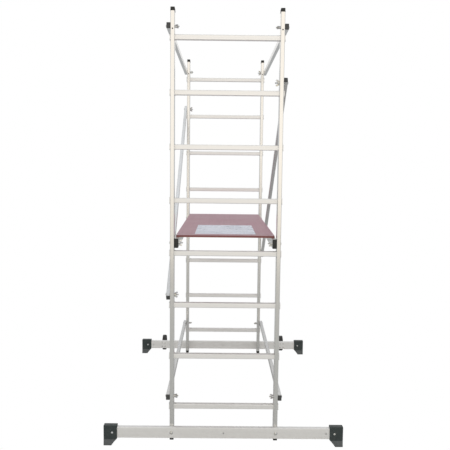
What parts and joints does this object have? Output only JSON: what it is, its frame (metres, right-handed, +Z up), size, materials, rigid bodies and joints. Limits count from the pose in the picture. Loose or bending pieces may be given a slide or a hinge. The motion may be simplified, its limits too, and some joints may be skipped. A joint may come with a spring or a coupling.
{
  "type": "mobile tower scaffold",
  "caption": "Knock-down tower scaffold: end ladders on stabiliser beams with feet and transport wheels, joined by a wooden deck, guard rails, struts and diagonals held by wing nuts.",
  "frame": {"origin": "on the ground, at the centre of the whole outline seen from above", "axes": "+X across the ladders to the right, +Y from the front ladder to the rear ladder with the wheels, +Z up"},
  "size_m": [1.293, 1.7792, 2.311],
  "materials": {
    "ladder_aluminium": "extruded, satin",
    "bracing_aluminium": "extruded, satin",
    "beam_aluminium": "brushed along the tube",
    "zinc_steel": "bright zinc plated",
    "bracket_steel": "galvanised sheet",
    "foot_plastic": "moulded, dark grey",
    "cap_plastic": "moulded, black",
    "tyre_rubber": "black rubber",
    "hub_plastic": "moulded, dark grey",
    "deck_plywood": "film-faced plywood, reddish brown",
    "notice_film": "blank pale film"
  },
  "bodies": {
    "tower": {"axle_rings": "zinc_steel", "beam_bolts": "zinc_steel", "beam_nuts": "zinc_steel", "bolt_washers": "zinc_steel", "bracing_caps": "cap_plastic", "bracket_rivets": "zinc_steel", "carriage_bolts": "zinc_steel", "deck_board": "deck_plywood", "deck_cross_members": "ladder_aluminium", "deck_label": "notice_film", "deck_rail_caps": "cap_plastic", "deck_screws": "zinc_steel", "foot_rivets": "zinc_steel", "front_beam": "beam_aluminium", "front_left_foot": "foot_plastic", "front_left_stile": "ladder_aluminium", "front_right_foot": "foot_plastic", "front_right_stile": "ladder_aluminium", "front_rungs": "ladder_aluminium", "left_axle": "zinc_steel", "left_deck_rail": "ladder_aluminium", "left_diagonal": "bracing_aluminium", "left_guard_rail": "bracing_aluminium", "left_strut": "bracing_aluminium", "left_wheel_bracket": "bracket_steel", "rear_beam": "beam_aluminium", "rear_left_foot": "foot_plastic", "rear_left_stile": "ladder_aluminium", "rear_right_foot": "foot_plastic", "rear_right_stile": "ladder_aluminium", "rear_rungs": "ladder_aluminium", "right_axle": "zinc_steel", "right_deck_rail": "ladder_aluminium", "right_diagonal": "bracing_aluminium", "right_guard_rail": "bracing_aluminium", "right_strut": "bracing_aluminium", "right_wheel_bracket": "bracket_steel", "stile_base_caps": "cap_plastic", "stile_top_caps": "cap_plastic"},
    "left_wheel": {"left_hub": "hub_plastic", "left_tyre": "tyre_rubber"},
    "right_wheel": {"right_hub": "hub_plastic", "right_tyre": "tyre_rubber"},
    "front_left_guard_rail_nut": {"front_left_guard_rail_wing_nut": "zinc_steel"},
    "front_left_strut_nut": {"front_left_strut_wing_nut": "zinc_steel"},
    "front_left_deck_rail_nut": {"front_left_deck_rail_wing_nut": "zinc_steel"},
    "front_left_diagonal_nut": {"front_left_diagonal_wing_nut": "zinc_steel"},
    "front_right_guard_rail_nut": {"front_right_guard_rail_wing_nut": "zinc_steel"},
    "front_right_strut_nut": {"front_right_strut_wing_nut": "zinc_steel"},
    "front_right_deck_rail_nut": {"front_right_deck_rail_wing_nut": "zinc_steel"},
    "front_right_diagonal_nut": {"front_right_diagonal_wing_nut": "zinc_steel"},
    "rear_left_guard_rail_nut": {"rear_left_guard_rail_wing_nut": "zinc_steel"},
    "rear_left_strut_nut": {"rear_left_strut_wing_nut": "zinc_steel"},
    "rear_left_deck_rail_nut": {"rear_left_deck_rail_wing_nut": "zinc_steel"},
    "rear_left_diagonal_nut": {"rear_left_diagonal_wing_nut": "zinc_steel"},
    "rear_right_guard_rail_nut": {"rear_right_guard_rail_wing_nut": "zinc_steel"},
    "rear_right_strut_nut": {"rear_right_strut_wing_nut": "zinc_steel"},
    "rear_right_deck_rail_nut": {"rear_right_deck_rail_wing_nut": "zinc_steel"},
    "rear_right_diagonal_nut": {"rear_right_diagonal_wing_nut": "zinc_steel"}
  },
  "joints": [
    {"name": "left_wheel_spin", "type": "hinge", "parent": "tower", "child": "left_wheel", "pos_m": [-0.475, 0.8296, 0.063], "axis": [1, 0, 0], "continuous": true},
    {"name": "right_wheel_spin", "type": "hinge", "parent": "tower", "child": "right_wheel", "pos_m": [0.475, 0.8296, 0.063], "axis": [1, 0, 0], "continuous": true},
    {"name": "front_left_guard_rail_nut_turn", "type": "hinge", "parent": "tower", "child": "front_left_guard_rail_nut", "pos_m": [-0.261, -0.8319, 2.218], "axis": [1, 0, 0], "continuous": true},
    {"name": "front_left_strut_nut_turn", "type": "hinge", "parent": "tower", "child": "front_left_strut_nut", "pos_m": [-0.261, -0.8319, 0.258], "axis": [1, 0, 0], "continuous": true},
    {"name": "front_left_deck_rail_nut_turn", "type": "hinge", "parent": "tower", "child": "front_left_deck_rail_nut", "pos_m": [-0.239, -0.8319, 1.098], "axis": [1, 0, 0], "continuous": true},
    {"name": "front_left_diagonal_nut_turn", "type": "hinge", "parent": "tower", "child": "front_left_diagonal_nut", "pos_m": [-0.261, -0.8319, 0.818], "axis": [1, 0, 0], "continuous": true},
    {"name": "front_right_guard_rail_nut_turn", "type": "hinge", "parent": "tower", "child": "front_right_guard_rail_nut", "pos_m": [0.261, -0.8319, 2.218], "axis": [1, 0, 0], "continuous": true},
    {"name": "front_right_strut_nut_turn", "type": "hinge", "parent": "tower", "child": "front_right_strut_nut", "pos_m": [0.261, -0.8319, 0.258], "axis": [1, 0, 0], "continuous": true},
    {"name": "front_right_deck_rail_nut_turn", "type": "hinge", "parent": "tower", "child": "front_right_deck_rail_nut", "pos_m": [0.239, -0.8319, 1.098], "axis": [1, 0, 0], "continuous": true},
    {"name": "front_right_diagonal_nut_turn", "type": "hinge", "parent": "tower", "child": "front_right_diagonal_nut", "pos_m": [0.261, -0.8319, 1.938], "axis": [1, 0, 0], "continuous": true},
    {"name": "rear_left_guard_rail_nut_turn", "type": "hinge", "parent": "tower", "child": "rear_left_guard_rail_nut", "pos_m": [-0.261, 0.7111, 2.218], "axis": [1, 0, 0], "continuous": true},
    {"name": "rear_left_strut_nut_turn", "type": "hinge", "parent": "tower", "child": "rear_left_strut_nut", "pos_m": [-0.261, 0.7111, 0.258], "axis": [1, 0, 0], "continuous": true},
    {"name": "rear_left_deck_rail_nut_turn", "type": "hinge", "parent": "tower", "child": "rear_left_deck_rail_nut", "pos_m": [-0.239, 0.7111, 1.098], "axis": [1, 0, 0], "continuous": true},
    {"name": "rear_left_diagonal_nut_turn", "type": "hinge", "parent": "tower", "child": "rear_left_diagonal_nut", "pos_m": [-0.261, 0.7111, 1.938], "axis": [1, 0, 0], "continuous": true},
    {"name": "rear_right_guard_rail_nut_turn", "type": "hinge", "parent": "tower", "child": "rear_right_guard_rail_nut", "pos_m": [0.261, 0.7111, 2.218], "axis": [1, 0, 0], "continuous": true},
    {"name": "rear_right_strut_nut_turn", "type": "hinge", "parent": "tower", "child": "rear_right_strut_nut", "pos_m": [0.261, 0.7111, 0.258], "axis": [1, 0, 0], "continuous": true},
    {"name": "rear_right_deck_rail_nut_turn", "type": "hinge", "parent": "tower", "child": "rear_right_deck_rail_nut", "pos_m": [0.239, 0.7111, 1.098], "axis": [1, 0, 0], "continuous": true},
    {"name": "rear_right_diagonal_nut_turn", "type": "hinge", "parent": "tower", "child": "rear_right_diagonal_nut", "pos_m": [0.261, 0.7111, 0.818], "axis": [1, 0, 0], "continuous": true}
  ]
}
